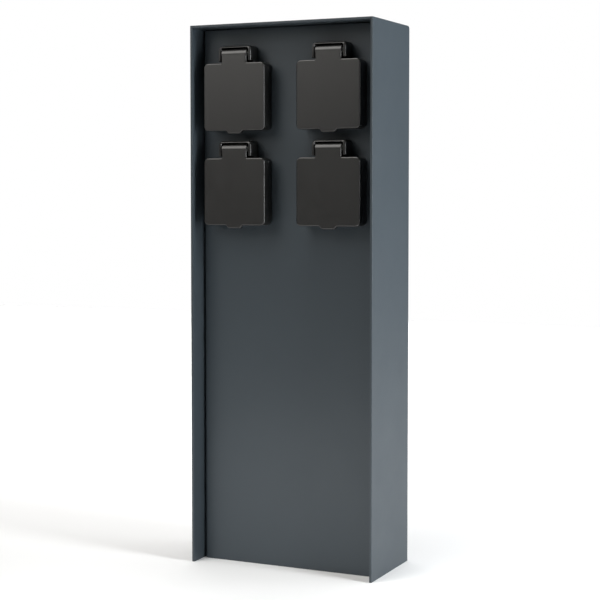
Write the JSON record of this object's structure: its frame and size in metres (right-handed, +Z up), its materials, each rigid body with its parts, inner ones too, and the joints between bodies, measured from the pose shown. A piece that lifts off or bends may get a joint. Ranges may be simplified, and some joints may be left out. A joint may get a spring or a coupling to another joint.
{
  "type": "garden socket",
  "caption": "Upright sheet metal garden column with a recessed front that carries sockets under square sprung hinged lids.",
  "frame": {"origin": "on the ground, in the middle of the column's footprint", "axes": "+Z up, -Y is the front with the lids, +X to the right when facing the lids"},
  "size_m": [0.164, 0.08, 0.45],
  "materials": {
    "hood_paint": "anthracite powder coat, fine texture",
    "frame_paint": "anthracite powder coat, fine texture",
    "zinc_steel": "galvanised",
    "housing_plastic": "fine matt grain",
    "lid_plastic": "satin",
    "seal_rubber": "soft matt",
    "gasket_foam": "closed cell foam",
    "pin_steel": "drawn",
    "spring_steel": "drawn",
    "carrier_plastic": "matt",
    "contact_brass": "bare",
    "clip_nickel": "nickel plated",
    "screw_steel": "zinc plated",
    "terminal_plastic": "matt",
    "wire_brown": "satin sleeve",
    "wire_blue": "satin sleeve",
    "wire_green": "satin sleeve"
  },
  "bodies": {
    "column": {"hood_back_top": "hood_paint", "hood_side_left": "hood_paint", "hood_side_right": "hood_paint", "front_panel": "frame_paint", "base_plate": "zinc_steel", "top_catch": "frame_paint", "hood_screws": "screw_steel", "socket_screws": "screw_steel", "terminal_block": "terminal_plastic", "terminal_clamps": "contact_brass", "earth_stud": "screw_steel", "wire_live": "wire_brown", "wire_earth": "wire_green", "wire_neutral": "wire_blue", "housing_upper_left": "housing_plastic", "hinge_pin_upper_left": "pin_steel", "lid_spring_upper_left": "spring_steel", "flange_gasket_upper_left": "gasket_foam", "contact_carrier_upper_left": "carrier_plastic", "contacts_upper_left": "contact_brass", "earth_clip_upper_left": "clip_nickel", "housing_upper_right": "housing_plastic", "hinge_pin_upper_right": "pin_steel", "lid_spring_upper_right": "spring_steel", "flange_gasket_upper_right": "gasket_foam", "contact_carrier_upper_right": "carrier_plastic", "contacts_upper_right": "contact_brass", "earth_clip_upper_right": "clip_nickel", "housing_lower_left": "housing_plastic", "hinge_pin_lower_left": "pin_steel", "lid_spring_lower_left": "spring_steel", "flange_gasket_lower_left": "gasket_foam", "contact_carrier_lower_left": "carrier_plastic", "contacts_lower_left": "contact_brass", "earth_clip_lower_left": "clip_nickel", "housing_lower_right": "housing_plastic", "hinge_pin_lower_right": "pin_steel", "lid_spring_lower_right": "spring_steel", "flange_gasket_lower_right": "gasket_foam", "contact_carrier_lower_right": "carrier_plastic", "contacts_lower_right": "contact_brass", "earth_clip_lower_right": "clip_nickel"},
    "lid_upper_left": {"lid_upper_left": "lid_plastic", "lid_seal_upper_left": "seal_rubber"},
    "lid_upper_right": {"lid_upper_right": "lid_plastic", "lid_seal_upper_right": "seal_rubber"},
    "lid_lower_left": {"lid_lower_left": "lid_plastic", "lid_seal_lower_left": "seal_rubber"},
    "lid_lower_right": {"lid_lower_right": "lid_plastic", "lid_seal_lower_right": "seal_rubber"}
  },
  "joints": [
    {"name": "lid_upper_left_hinge", "type": "hinge", "parent": "column", "child": "lid_upper_left", "pos_m": [-0.0424, -0.0341, 0.4255], "axis": [-1, 0, 0], "range_deg": [0, 105], "stiffness_Nm_per_rad": 0.022, "springref_deg": -51.57, "deforming": ["lid_spring_upper_left"]},
    {"name": "lid_upper_right_hinge", "type": "hinge", "parent": "column", "child": "lid_upper_right", "pos_m": [0.0424, -0.0341, 0.4255], "axis": [-1, 0, 0], "range_deg": [0, 105], "stiffness_Nm_per_rad": 0.022, "springref_deg": -51.57, "deforming": ["lid_spring_upper_right"]},
    {"name": "lid_lower_left_hinge", "type": "hinge", "parent": "column", "child": "lid_lower_left", "pos_m": [-0.0424, -0.0341, 0.3475], "axis": [-1, 0, 0], "range_deg": [0, 105], "stiffness_Nm_per_rad": 0.022, "springref_deg": -51.57, "deforming": ["lid_spring_lower_left"]},
    {"name": "lid_lower_right_hinge", "type": "hinge", "parent": "column", "child": "lid_lower_right", "pos_m": [0.0424, -0.0341, 0.3475], "axis": [-1, 0, 0], "range_deg": [0, 105], "stiffness_Nm_per_rad": 0.022, "springref_deg": -51.57, "deforming": ["lid_spring_lower_right"]}
  ]
}
